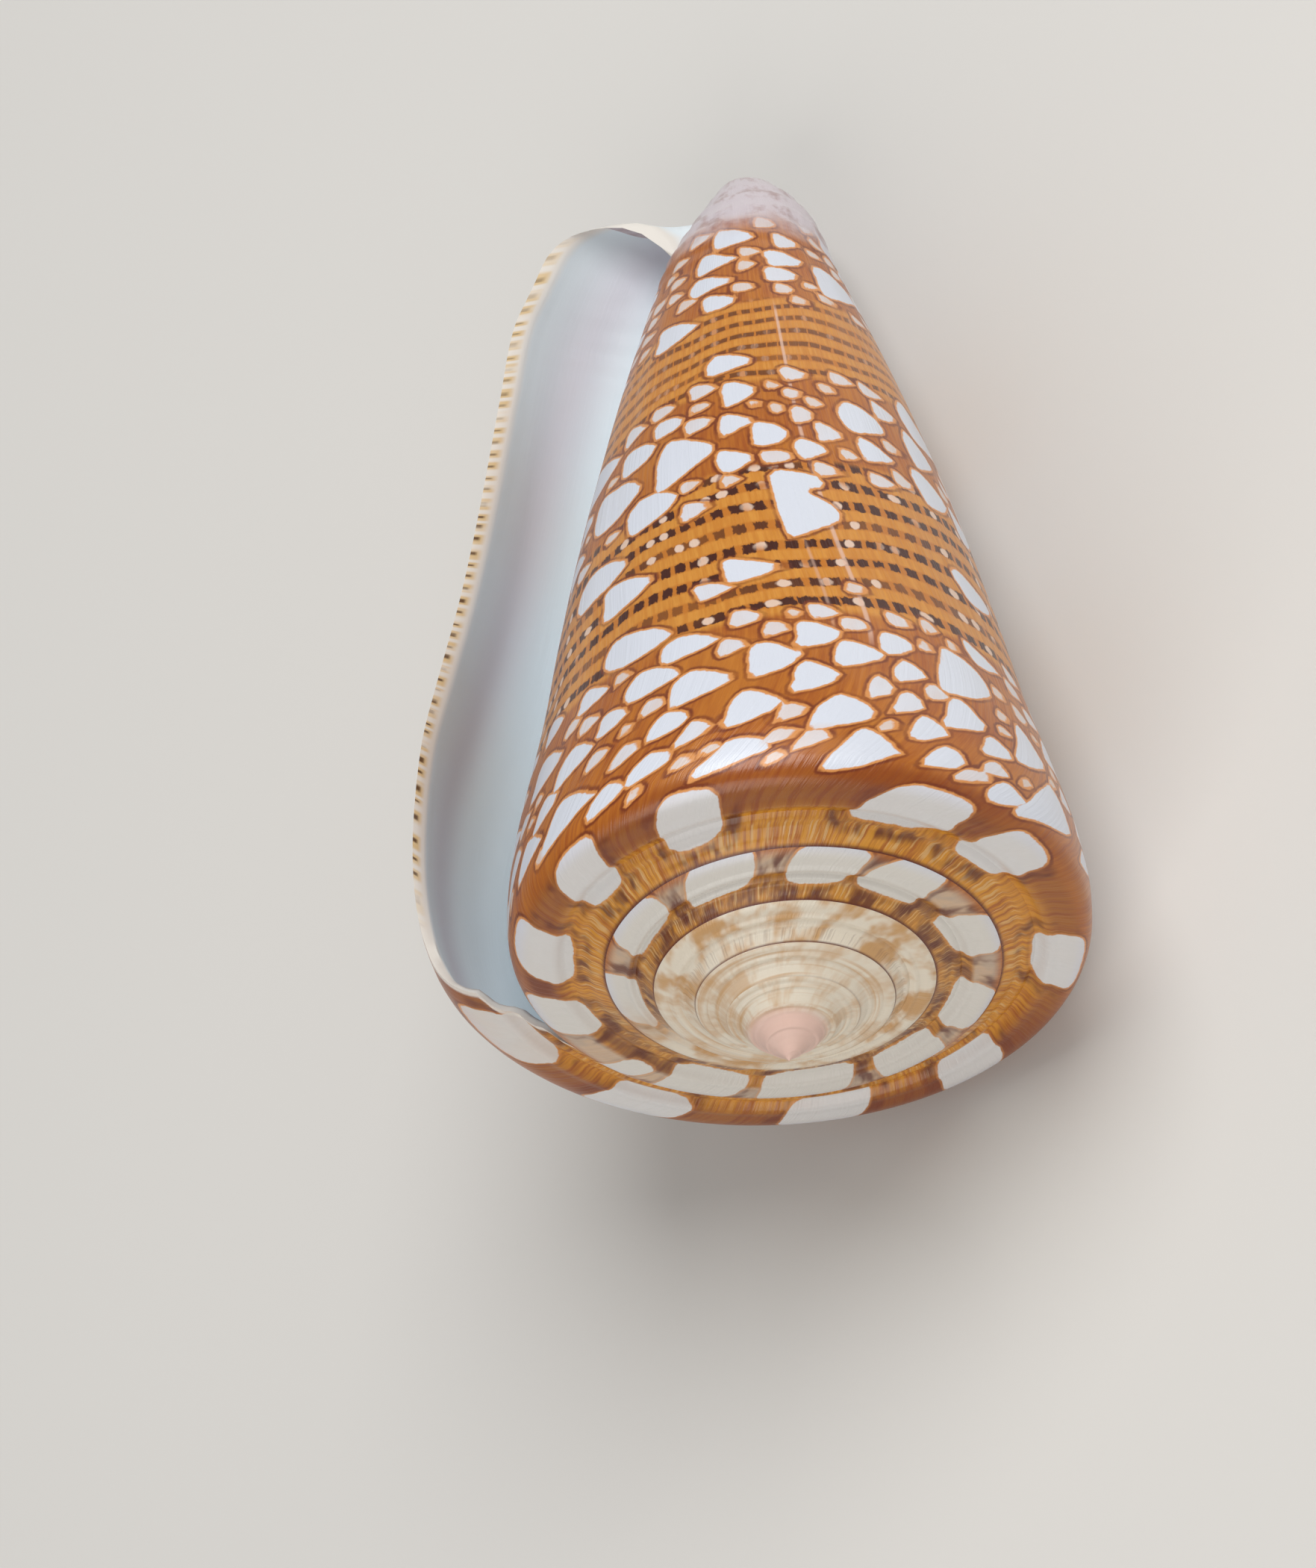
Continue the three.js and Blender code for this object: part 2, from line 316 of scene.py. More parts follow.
# The white tents. A band runs round the shell and climbs towards the front, and a zone is from one height
# of band to another, with sizes of (length, height, tries), largest first.
tentPattern = {
    "bandRise": 6.1,  # millimetres in one turn
    "bandFrom": 0.75,  # turn where a height of band is the height below the shoulder
    "lastTurn": 1.22,
    "knownTurns": (0.565, 0.935),  # here the larger tents come from placedTents
    "smallTent": 1.35,  # tents no longer than this fill in between them
    "gap": 0.27,
    "crowding": 0.86,
    "sizeRange": (0.82, 1.15),
    "clearOfShoulder": 0.25,
    "outlinePoints": 28,
    "seed": 11,
    "zones": [
        (0.6, 9.6, [
            (2.9, 2.1, 160), (2.3, 1.7, 900), (1.8, 1.35, 2000), (1.35, 1.05, 3000), (0.9, 0.7, 3500),
        ]),
        (10.4, 18.4, [(2.7, 1.9, 26), (1.9, 1.3, 20)]),
        (18.6, 25.6, [
            (3.1, 2.8, 110), (2.4, 2.1, 600), (1.8, 1.5, 1200), (1.3, 1.0, 2200), (0.9, 0.7, 2600),
        ]),
        (26.2, 31.2, [(2.0, 1.4, 12)]),
        (31.4, 38.2, [(2.6, 1.7, 260), (2.0, 1.4, 700), (1.5, 1.1, 1300), (1.0, 0.7, 1600)]),
    ],
}

# Tents of the front side: hundredths of a turn, millimetres below the shoulder, length, height. They were
# read by eye, and a separate script turned the readings into these units and printed this table.
placedTents = [
    (86.2, 9.7, 3.2, 2.2), (89.4, 8.0, 1.9, 1.4), (82.4, 8.4, 2.6, 1.7), (79.0, 9.4, 1.4, 1.0),
    (84.5, 6.9, 2.6, 1.8), (74.8, 8.1, 2.0, 1.7), (70.2, 8.1, 1.5, 1.5), (72.4, 7.0, 2.1, 1.8),
    (77.2, 6.6, 2.0, 2.2), (69.4, 6.4, 1.5, 1.4), (80.9, 5.7, 3.0, 2.4), (86.7, 5.6, 1.9, 1.5),
    (89.1, 4.7, 2.5, 2.1), (83.7, 5.3, 1.4, 1.0), (89.0, 6.4, 1.2, 1.0), (90.8, 7.0, 1.2, 1.0),
    (92.9, 5.8, 2.5, 1.8), (74.5, 5.4, 1.9, 1.8), (70.9, 5.0, 1.2, 1.7), (69.1, 4.4, 1.3, 1.4),
    (65.6, 7.4, 2.8, 3.0), (63.2, 9.6, 2.3, 1.3), (65.7, 4.6, 2.0, 2.1), (60.6, 5.0, 2.1, 2.5),
    (60.2, 9.3, 1.6, 0.9), (82.0, 3.9, 1.9, 1.5), (86.6, 3.8, 1.3, 0.9), (90.7, 3.3, 2.0, 1.6),
    (84.1, 3.2, 1.4, 1.1), (79.7, 3.0, 1.9, 1.4), (77.2, 3.8, 2.4, 2.1), (81.4, 2.0, 2.2, 1.7),
    (87.2, 1.9, 2.8, 1.9), (83.6, 1.1, 2.1, 1.4), (79.0, 1.3, 1.3, 0.8), (72.0, 3.3, 2.8, 2.2),
    (67.3, 3.1, 1.6, 1.6), (63.1, 3.6, 1.6, 1.3), (74.2, 2.1, 2.1, 1.2), (76.0, 1.2, 3.6, 2.2),
    (69.1, 1.1, 2.5, 2.0), (65.1, 1.8, 1.7, 1.4), (63.0, 1.1, 1.5, 0.9), (60.4, 1.0, 2.4, 1.4),
    (57.4, 2.3, 3.6, 3.4), (77.8, 12.5, 2.6, 1.6), (80.6, 11.6, 1.8, 1.1), (91.4, 1.6, 2.2, 1.4),
    (76.4, 24.6, 2.2, 2.5), (82.9, 23.6, 1.6, 1.2), (86.1, 22.5, 2.2, 1.9), (80.0, 22.9, 1.4, 1.1),
    (76.8, 22.4, 1.8, 1.8), (81.4, 20.9, 2.7, 3.1), (88.4, 20.3, 3.2, 3.1), (84.4, 18.3, 2.5, 2.3),
    (77.3, 19.8, 1.6, 1.5), (74.2, 21.4, 2.0, 2.2), (75.0, 23.6, 1.0, 0.7), (73.2, 23.2, 0.9, 1.0),
    (71.7, 24.3, 1.2, 1.0), (71.3, 22.8, 1.2, 1.6), (70.0, 23.8, 1.1, 1.0), (69.4, 21.7, 1.3, 1.4),
    (71.3, 20.4, 1.5, 1.6), (65.8, 23.3, 2.4, 2.6), (62.7, 24.7, 1.4, 1.2), (59.5, 23.1, 1.9, 2.4),
    (63.4, 22.1, 1.3, 0.9), (65.6, 21.1, 1.8, 1.7), (60.2, 20.4, 2.3, 2.3), (80.8, 17.1, 1.4, 1.1),
    (89.6, 15.6, 3.2, 2.2), (86.9, 13.6, 2.8, 1.9), (60.1, 14.6, 2.6, 1.8), (92.0, 23.6, 3.2, 2.3),
    (94.7, 19.0, 2.0, 1.8), (83.6, 30.6, 2.2, 1.7), (78.1, 31.9, 1.6, 1.4), (79.4, 33.6, 2.6, 1.8),
    (82.7, 32.7, 1.3, 1.0), (78.8, 35.4, 1.8, 1.5), (76.0, 37.2, 1.9, 1.6), (68.9, 35.3, 2.1, 1.5),
    (69.9, 33.9, 1.8, 1.4), (67.5, 36.9, 1.3, 1.2), (61.1, 34.4, 2.7, 2.4), (74.4, 34.7, 0.8, 0.9),
    (77.1, 26.9, 1.9, 1.4), (82.0, 37.9, 1.1, 1.0), (67.4, 10.0, 0.9, 0.9), (71.7, 11.3, 1.0, 0.7),
]

# One large blotch with a notch in it, drawn round: hundredths of a turn, millimetres.
notchedBlotch = [
    (75.05, 14.3), (75.15, 16.2), (75.0, 18.5), (74.3, 18.9), (71.6, 18.5), (71.2, 18.0), (71.6, 17.7),
    (72.5, 17.6), (72.6, 17.3), (72.0, 17.0), (71.2, 16.7), (70.7, 16.1), (71.0, 15.6), (72.2, 15.1),
    (74.0, 14.5),
]

# Blotches of the ramps of two whorls: azimuth from and to in degrees, and how much of the ramp they take.
rampBlotches = [
    [
        (198, 217, 0.62), (232, 250, 0.6), (270, 288, 0.62), (304, 321, 0.62), (346, 363, 0.62),
        (388, 403, 0.72), (411, 432, 0.6), (464, 478, 0.8), (494, 509, 0.72), (524, 543, 0.62),
    ],
    [
        (193, 206, 0.55), (224, 231, 0.4), (239, 255, 0.7), (266, 286, 0.7), (300, 317, 0.7),
        (330, 346, 0.7), (367, 382, 0.75), (402, 419, 0.75), (429, 445, 0.8), (462, 481, 0.75),
        (498, 518, 0.7), (540, 562, 0.7),
    ],
]


# Millimetres round the shell in one turn.
def roundAt(turn, down):
    return 2 * math.pi * wallAt(turn, np.clip(down / coneShell["wallSpan"], 0, 1))[0]


# The turn of a blotch's middle, within its whorl.
def blotchTurn(start, end):
    return ((start + end) / 2 - 180 - coneShell["shoulderLean"]) / 360


# Placed tents give way to each other where they come too near.
def placedSizes():
    tents = np.array(placedTents) * [0.01, 1, 1.04, 1]
    turn, down, length, height = tents.T
    across = (turn[:, None] - turn) * roundAt(turn, down)
    across = across / ((length[:, None] + length) / 2 + tentPattern["gap"])
    below = (down[:, None] - down) / ((height[:, None] + height) / 2 + tentPattern["gap"])
    nearness = np.hypot(across, below) + 9 * np.eye(len(tents))  # a tent isn't its own neighbour
    tents[:, 2:] *= np.clip(nearness.min(1) * 1.05, 0.5, 1)[:, None]
    return [tuple(tent) for tent in tents]


# Finds room for the tents that fill the rest of the wall.
def scatterTents(draw):
    tents = placedSizes()
    kept = len(tents)
    tents.append((0.73, 16.6, 3.4, 4.6))  # keeps the notched blotch clear
    for start, end, _ in rampBlotches[0]:
        tents.append((blotchTurn(start, end), -0.2, (end - start) * 0.24, 1.6))
    low, high = tentPattern["knownTurns"]
    for start, end, sizes in tentPattern["zones"]:
        for length, height, tries in sizes:
            turns = draw.uniform(-0.01, tentPattern["lastTurn"], tries)
            bands = draw.uniform(start, end, tries)
            scale = draw.uniform(*tentPattern["sizeRange"], (tries, 2))
            for turn, band, (a, b) in zip(turns, bands, scale):
                if length > tentPattern["smallTent"] and low < turn < high:
                    continue
                down = band - tentPattern["bandRise"] * (turn - tentPattern["bandFrom"])
                sizeA, sizeB = length * a, height * b
                if down - sizeB / 2 < tentPattern["clearOfShoulder"]:
                    continue
                known = np.array(tents)
                dx = (known[:, 0] - turn) * roundAt(turn, down)
                dx = dx / ((known[:, 2] + sizeA) / 2 + tentPattern["gap"])
                dy = (known[:, 1] - down) / ((known[:, 3] + sizeB) / 2 + tentPattern["gap"])
                if (dx**2 + dy**2).min() > tentPattern["crowding"]:
                    tents.append((turn, down, sizeA, sizeB))
    del tents[kept : kept + 1 + len(rampBlotches[0])]
    return tents


# A tent's outline round its middle: blunt on the older side, narrowing to a round tip where the shell grew.
def tentOutline(length, height, draw):
    angle = np.linspace(0, 2 * math.pi, tentPattern["outlinePoints"], endpoint=False)
    bluntness = draw.uniform(0.35, 0.7)
    x = np.cos(angle)
    x = np.where(x < 0, -(np.abs(x) ** bluntness), x)
    taper = draw.uniform(0.45, 0.75)
    y = np.sin(angle) * (1 - taper * (x + 1) / 2 - 0.1 * (x + 1) ** 2 / 4)
    y = y / (y.max() - y.min()) * 2
    y = y + draw.uniform(-0.16, 0.12) * x * (1 - x) / 2
    swell = 1 + np.exp(-(((angle - 1.28 * math.pi) / 0.35) ** 2)) * draw.uniform(0, 0.3)  # a heel
    for order, size in ((2, 0.05), (3, 0.05), (5, 0.03)):
        swell = swell + size * np.sin(order * angle + draw.uniform(0, 2 * math.pi))
    return np.stack([x * length / 2, y * height / 2], -1) * swell[:, None]


# Signed distance to a closed outline, positive inside.
def outlineDistance(points, outline):
    start = outline
    step = np.roll(outline, -1, 0) - start
    away = points[:, None, :] - start[None]
    f = np.clip((away * step).sum(-1) / (step * step).sum(-1), 0, 1)
    distance = np.sqrt(((away - f[..., None] * step) ** 2).sum(-1)).min(1)
    above = start[:, 1][None] > points[:, 1:]
    nextAbove = np.roll(start[:, 1], -1)[None] > points[:, 1:]
    with np.errstate(divide="ignore", invalid="ignore"):
        crossing = start[:, 0] + (points[:, 1:] - start[:, 1]) * step[:, 0] / step[:, 1]
    odd = ((above != nextAbove) & (points[:, :1] < crossing)).sum(1) % 2 == 1
    return np.where(odd, distance, -distance)


# All white marks as (turn, down, outline in millimetres, tone). Tone is 0 for a large bluish one and 1 for a
# small pink one.
def makeMarks():
    draw = np.random.default_rng(tentPattern["seed"])
    marks = []
    for turn, down, length, height in scatterTents(draw):
        tone = 1 - smoothStep(0.7, 1.6, math.sqrt(length * height))
        down = down + 0.3 * (down < 1.7)  # keeps the top row off the corner
        marks.append((turn, down, tentOutline(length, height, draw), float(tone)))
    outline = np.array(notchedBlotch)
    middle = outline.mean(0)
    reach = float(roundAt(middle[0] / 100, middle[1])) / 100
    marks.append((middle[0] / 100, middle[1], (outline - middle) * np.array([-reach, 1]), 0.0))
    for whorl, row in enumerate(rampBlotches):
        for start, end, depth in row:
            turn = whorl + blotchTurn(start, end)
            radius = float(shoulderAt(turn)[0])
            within = float(shoulderAt(turn + 1)[0])
            width = math.radians(end - start) * radius * (0.93, 1.2)[whorl]
            height = (radius - within) * depth + 0.5
            angle = np.linspace(0, 2 * math.pi, 32, endpoint=False)
            x = np.sign(np.cos(angle)) * np.abs(np.cos(angle)) ** 0.55
            y = np.sign(np.sin(angle)) * np.abs(np.sin(angle)) ** 0.6
            x = x * (1 + 0.16 * y * draw.uniform(-0.6, 1))
            swell = 1 + 0.05 * np.sin(2 * angle + draw.uniform(0, 6))
            swell = swell + 0.04 * np.sin(3 * angle + draw.uniform(0, 6))
            outline = np.stack([x * width / 2, y * height / 2], -1) * swell[:, None]
            tone = 0.8 if turn < 0.08 else 0.25
            marks.append((turn, 0.3 - height / 2, outline, tone))
    return marks


layerCount = 4
sameLayerGap = 0.35  # millimetres


# Neighbours go to different layers, so that the gaps between them stay crisp.
def layersOf(marks):
    layers = []
    spans = []
    for turn, down, outline, _ in marks:
        halfLength, halfHeight = np.ptp(outline, 0) / 2 + sameLayerGap
        spans.append((turn * float(roundAt(turn, down)), down, halfLength, halfHeight))
    for i, (x, y, a, b) in enumerate(spans):
        used = [0] * layerCount
        for j in range(i):
            if abs(spans[j][0] - x) < spans[j][2] + a and abs(spans[j][1] - y) < spans[j][3] + b:
                used[layers[j]] += 1
        layers.append(used.index(min(used)))
    return layers


# The rows of dark dashes round the shell, in millimetres of band.
dashes = {
    "lowerStart": 10.2,
    "lowerSpacing": 1.26,
    "lowerBand": (9.5, 19.3),
    "upperStart": 26.85,
    "upperSpacing": 1.0,
    "upperBand": (25.3, 31.6),
    "upperFrom": 22.5,
    "upperNumber": 20,  # lines of the upper band are numbered from here
    "period": 0.0125,  # turns
}

farAway = -3.0  # millimetres outside any mark
nearBy = 1.4  # a mark's distance is worked out this far beyond it


# Gives each point of a sheet its distance into the white marks, and its place among the dashes.
def paint(sheet, marks, layers):
    turn, down, radius = sheet["paintTurn"], sheet["down"], sheet["radius"]
    reach = 2 * math.pi * np.maximum(radius, 0.5)
    tents = np.full((layerCount,) + turn.shape, farAway)
    tone = np.zeros(turn.shape)
    best = np.full(turn.shape, farAway)
    for (markTurn, markDown, outline, markTone), layer in zip(marks, layers):
        dx = (markTurn - turn) * reach
        dy = down - markDown
        width = np.abs(outline[:, 0]).max() + nearBy
        height = np.abs(outline[:, 1]).max() + nearBy
        near = (np.abs(dx) < width) & (np.abs(dy) < height)
        if not near.any():
            continue
        distance = outlineDistance(np.stack([dx[near], dy[near]], -1), outline)
        tents[layer][near] = np.maximum(tents[layer][near], distance)
        closer = distance > best[near]
        tone[near] = np.where(closer, markTone, tone[near])
        best[near] = np.maximum(best[near], distance)
    sheet["tents"] = tents
    sheet["tone"] = tone
    band = down + tentPattern["bandRise"] * (turn - tentPattern["bandFrom"])
    wobble = 0.11 * np.sin(31 * turn + 0.7 * band) + 0.07 * np.sin(77 * turn + 1.9)
    lower = (band + wobble - dashes["lowerStart"]) / dashes["lowerSpacing"]
    upper = dashes["upperNumber"] + (band + wobble - dashes["upperStart"]) / dashes["upperSpacing"]
    sheet["line"] = np.where(band < dashes["upperFrom"], lower, upper)
    beat = 0.25 * np.sin(53 * turn) + 0.2 * np.sin(0.9 * down + 17 * turn)
    sheet["dash"] = turn / dashes["period"] + beat
    inLower = np.minimum(band - dashes["lowerBand"][0], dashes["lowerBand"][1] - band)
    inUpper = np.minimum(band - dashes["upperBand"][0], dashes["upperBand"][1] - band)
    sheet["bandDepth"] = np.maximum(inLower, inUpper)
    # the mouth's glaze also covers the wall of the whorl within
    covered = smoothStep(1.03, 1.12, turn) * (down > 0.2) * (sheet["rampShare"] == 1) * sheet["whole"]
    sheet["inside"] = np.maximum(sheet["inside"], covered)
    sheet["edge"] = sheet["turn"] * reach


# What the mesh carries for the glaze, three values under each name.
vectorAttributes = {
    "tents": ("tentA", "tentB", "tentC"),
    "marks": ("tentD", "tone", "bandDepth"),
    "lines": ("line", "dash", "edge"),
    "place": ("paintTurn", "down", "radius"),
    "region": ("inside", "rampShare", "turn"),  # turn only fills the third place
}


# A grid rolled up into its place in the shell, with the glaze's values at its face corners.
def rollUp(name, sheet, outward):
    columns, rows = sheet["turn"].shape
    sheetMesh = bmesh.new()
    bmesh.ops.create_grid(sheetMesh, x_segments=columns - 1, y_segments=rows - 1, size=1)
    if outward:
        bmesh.ops.reverse_faces(sheetMesh, faces=sheetMesh.faces)
    mesh = bpy.data.meshes.new(name)
    sheetMesh.to_mesh(mesh)
    sheetMesh.free()
    flat = np.empty(len(mesh.vertices) * 3)
    mesh.vertices.foreach_get("co", flat)
    flat = flat.reshape(-1, 3)
    column = np.rint((flat[:, 0] + 1) / 2 * (columns - 1)).astype(int)
    row = np.rint((flat[:, 1] + 1) / 2 * (rows - 1)).astype(int)
    mesh.vertices.foreach_set("co", (sheet["at"][column, row] * mm).ravel())
    corner = np.empty(len(mesh.loops), dtype=np.int32)
    mesh.loops.foreach_get("vertex_index", corner)
    tents = zip(("tentA", "tentB", "tentC", "tentD"), sheet["tents"])
    values = dict(tents, **sheet)
    for attribute, parts in vectorAttributes.items():
        stacked = np.stack([values[part][column, row] for part in parts], -1)
        layer = mesh.attributes.new(attribute, "FLOAT_VECTOR", "CORNER")
        layer.data.foreach_set("vector", stacked[corner].astype(np.float32).ravel())
    return mesh


weldDistance = 2e-8  # metres
apexReach = 3e-6
sharpAngle = 0.8  # radians


def buildShell():
    perTurn = coneShell["columnsPerTurn"]
    mouth = coneShell["mouthColumns"]
    lastWhorl = np.arange(perTurn + mouth + 1) * columnStep
    spire = np.arange(perTurn + mouth, coneShell["turns"] * perTurn + 1) * columnStep
    marks = makeMarks()
    layers = layersOf(marks)
    outer = outerSheet(lastWhorl, True)
    older = outerSheet(spire, False)
    inner = innerSheet(lastWhorl[: mouth + 1], outer)
    joined = bmesh.new()
    sheets = (("outer", outer, True), ("older", older, True), ("inner", inner, False))
    for name, sheet, outward in sheets:
        paint(sheet, marks, layers)
        part = rollUp(name, sheet, outward)
        joined.from_mesh(part)
        bpy.data.meshes.remove(part)
    bmesh.ops.remove_doubles(joined, verts=joined.verts, dist=weldDistance)
    apex = [vert for vert in joined.verts if vert.co.length < apexReach]
    bmesh.ops.pointmerge(joined, verts=apex, merge_co=(0, 0, 0))
    bmesh.ops.dissolve_degenerate(joined, edges=joined.edges, dist=weldDistance / 2)
    for face in joined.faces:
        face.smooth = True
    for edge in joined.edges:
        edge.smooth = len(edge.link_faces) == 2 and edge.calc_face_angle(0) < sharpAngle
    lie = Matrix.Rotation(math.radians(coneShell["lieTilt"]), 4, "X")
    lie = lie @ Matrix.Rotation(math.radians(coneShell["lieRoll"]), 4, "Z")
    bmesh.ops.transform(joined, matrix=lie, verts=joined.verts)
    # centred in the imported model's box, and down on the floor
    places = np.array([vert.co for vert in joined.verts])
    low, high = places.min(0), places.max(0)
    middle = (np.array(boxLow) + np.array(boxHigh)) / 2
    shift = Vector(middle - (low + high) / 2)
    shift.z = boxLow.z - low[2]
    bmesh.ops.translate(joined, vec=shift, verts=joined.verts)
    mesh = bpy.data.meshes.new("coneShell")
    joined.to_mesh(mesh)
    joined.free()
    shell = bpy.data.objects.new("coneShell", mesh)
    bpy.context.collection.objects.link(shell)
    print("cone shell:", len(marks), "white marks,", len(mesh.polygons), "faces")
    return shell, Matrix.Translation(shift) @ lie


shell, shellToWorld = buildShell()


def linear(hexCode):
    parts = [int(hexCode[i : i + 2], 16) / 255 for i in (1, 3, 5)]
    return [c / 12.92 if c <= 0.04045 else ((c + 0.055) / 1.055) ** 2.4 for c in parts] + [1.0]


# Polished aragonite, the glassy crystal of a sea snail's shell: a porcelain gloss over colours that look
# painted.
glaze = {
    "roughness": 0.3,
    "ior": 1.5,
    "coat": 0.12,
    "coatRoughness": 0.08,
    "reliefStrength": 0.35,
    "reliefDepth": 0.00012,  # metres
    "grainRoughness": 0.6,
    "colours": {
        "tentWhite": "#DCE1EC",
        "tentPink": "#DDC9BE",
        "fringe": "#DB9350",
        "outline": "#742F10",
        "groundDark": "#9C4C10",
        "groundLight": "#C27522",
        "gold": "#C98029",
        "goldLight": "#D8943B",
        "dash": "#441704",
        "dot": "#E3C6B2",
        "rampDark": "#AE6116",
        "rampLight": "#D8942A",
        "rampRim": "#823A10",
        "rampPurple": "#70473A",
        "rampTick": "#E0B679",
        "rampEdge": "#5E2213",
        "cream": "#E9DECB",
        "tan": "#C68F45",
        "blotchCream": "#DDD8D0",
        "apex": "#E9C5B6",
        "tip": "#D3C9CF",
        "tipBrown": "#9C7570",
        "insideWhite": "#E9F4FA",
        # painted shade for the greyer strip where the mouth's inside curves
        "mouthPaintedShade": "#D0C5D0",
        "rim": "#EEE9E1",
        "rimDot": "#4A2412",
        "halo": "#E0BE7C",
        "scar": "#E3BBA6",
    },
}

# Node settings that come up again and again.
times = {"operation": "MULTIPLY"}
timesPlus = {"operation": "MULTIPLY_ADD"}
plus = {"operation": "ADD"}
minus = {"operation": "SUBTRACT"}
larger = {"operation": "MAXIMUM"}
unsigned = {"operation": "ABSOLUTE"}
wholePart = {"operation": "FLOOR"}
fraction = {"operation": "FRACT"}
power = {"operation": "POWER"}
squareRoot = {"operation": "SQRT"}
smooth = {"interpolation_type": "SMOOTHSTEP"}
colourMix = {"data_type": "RGBA"}
oneNumber = {"noise_dimensions": "1D"}


# Millimetres and turns in here are the shell's own. A smooth map range from low to high rises, and from
# high to low falls.
def glazedShell():
    material = bpy.data.materials.new("glazedAragonite")
    material.use_nodes = True
    tree = material.node_tree
    tree.nodes.clear()
    colour = {name: linear(hexCode) for name, hexCode in glaze["colours"].items()}

    # Adds a node and gives back the first output that it shows. Settings are its properties. Inputs are in
    # the order that it shows them, or by name, and each is another node's output or a value.
    def add(kind, settings=None, inputs=()):
        made = tree.nodes.new("ShaderNode" + kind)
        for key, value in (settings or {}).items():
            setattr(made, key, value)
        shown = [socket for socket in made.inputs if socket.enabled]
        named = inputs if isinstance(inputs, dict) else dict(enumerate(inputs))
        for key, value in named.items():
            socket = shown[key] if isinstance(key, int) else made.inputs[key]
            if isinstance(value, bpy.types.NodeSocket):
                tree.links.new(value, socket)
            else:
                socket.default_value = value
        return next((socket for socket in made.outputs if socket.enabled), None)

    # the three values that the mesh carries under one name
    def carried(name):
        vector = add("Attribute", {"attribute_name": name}).node.outputs["Vector"]
        return add("SeparateXYZ", None, [vector]).node.outputs

    # where all of the masks are
    def allOf(mask, *others):
        for other in others:
            mask = add("Math", times, [mask, other])
        return mask

    # 1 from low to high, with soft ends
    def within(value, low, high, soft):
        rising = add("MapRange", smooth, [value, low - soft, low + soft])
        return add("Math", minus, [rising, add("MapRange", smooth, [value, high - soft, high + soft])])

    # how far a value is from the middle between two whole numbers
    def fromMiddle(value):
        return add("Math", unsigned, [add("Math", minus, [add("Math", fraction, [value]), 0.5])])

    # noise on the shell's own coordinates, in grains per turn and grains per millimetre down
    def grain(perTurn, perMm, detail, seed):
        x = add("Math", times, [turn, perTurn])
        y = add("Math", times, [down, perMm])
        at = add("CombineXYZ", None, [x, y, seed])
        return add("TexNoise", None, [at, 1.0, detail, glaze["grainRoughness"]])

    # the same, sharpened into patches
    def patches(perTurn, perMm, detail, seed, low, high):
        return add("MapRange", smooth, [grain(perTurn, perMm, detail, seed), low, high])

    # a colour laid over another where a mask is, at a strength
    def lay(under, over, mask, strength=1.0):
        if strength < 1:
            mask = allOf(mask, strength)
        return add("Mix", colourMix, [mask, under, over])

    tentA, tentB, tentC = carried("tents")
    tentD, tone, bandDepth = carried("marks")
    line, dash, edge = carried("lines")
    turn, down, radius = carried("place")
    inside, rampShare, _ = carried("region")

    # white marks, with edges that wander by a few hundredths of a millimetre
    distance = tentA
    for tent in (tentB, tentC, tentD):
        distance = add("Math", larger, [distance, tent])
    wander = add("Math", timesPlus, [grain(190, 2.4, 3.0, 0.0), 0.16, -0.08])
    distance = add("Math", plus, [distance, wander])
    white = add("MapRange", smooth, [distance, 0.0, 0.07])
    fringe = add("MapRange", smooth, [distance, -0.12, -0.03])
    outline = within(distance, -0.22, -0.07, 0.06)

    # Orange-brown ground, streaked along the growth lines. A turn is some 80 mm round, so 260 in a turn are
    # 0.3 mm apart. Real growth lines are finer, and are drawn this coarse to show.
    streaks = grain(260, 0.35, 3.0, 2.0)
    streaked = add("MapRange", smooth, [streaks, 0.2, 0.82])
    ground = lay(colour["groundDark"], colour["groundLight"], streaked)
    ground = lay(ground, colour["gold"], patches(16, 0.22, 2.0, 5.0, 0.45, 0.7), 0.5)

    # golden bands, with lines of dashes
    inBand = add("MapRange", smooth, [bandDepth, -0.25, 0.25])
    gold = lay(colour["gold"], colour["goldLight"], add("MapRange", smooth, [streaks, 0.3, 0.7]))
    lineMiddle = add("Math", plus, [line, 0.5])
    lineNumber = add("Math", wholePart, [lineMiddle])
    fromLine = fromMiddle(lineMiddle)
    betweenLines = add("MapRange", smooth, [fromLine, 0.16, 0.32])
    ground = lay(ground, lay(colour["groundLight"], gold, betweenLines), inBand)
    chance = add("TexWhiteNoise", oneNumber, [lineNumber])
    dashAt = add("Math", timesPlus, [chance, 0.4, dash])
    beat = fromMiddle(dashAt)
    ragged = add("Math", timesPlus, [grain(260, 2.0, 4.0, 9.0), 0.42, -0.21])
    swell = add("Math", timesPlus, [grain(34, 0.5, 2.0, 11.0), 0.26, -0.13])
    raggedLine = add("Math", minus, [add("Math", plus, [fromLine, ragged]), swell])
    onLine = add("MapRange", smooth, [raggedLine, 0.24, 0.17])
    merging = patches(13, 0.16, 2.0, 15.0, 0.52, 0.66)
    raggedBeat = add("Math", minus, [beat, add("Math", timesPlus, [merging, 0.12, ragged])])
    onDash = add("MapRange", smooth, [raggedBeat, 0.37, 0.29])
    # the front band's lines are thinner and fainter
    isUpper = add("MapRange", smooth, [line, 14.0, 16.0])
    trimmed = allOf(isUpper, add("MapRange", smooth, [fromLine, 0.13, 0.21]))
    onLine = allOf(onLine, add("Math", minus, [1.0, trimmed]))
    darkness = add("Math", timesPlus, [chance, 0.4, grain(9, 0.12, 1.0, 4.0)])
    darkness = add("MapRange", smooth, [darkness, 0.38, 0.68])
    darkness = add("Math", timesPlus, [darkness, 0.42, 0.58])
    fainter = add("Math", timesPlus, [isUpper, -0.25, 1.0])
    ground = lay(ground, colour["dash"], allOf(onLine, onDash, inBand, darkness, fainter))
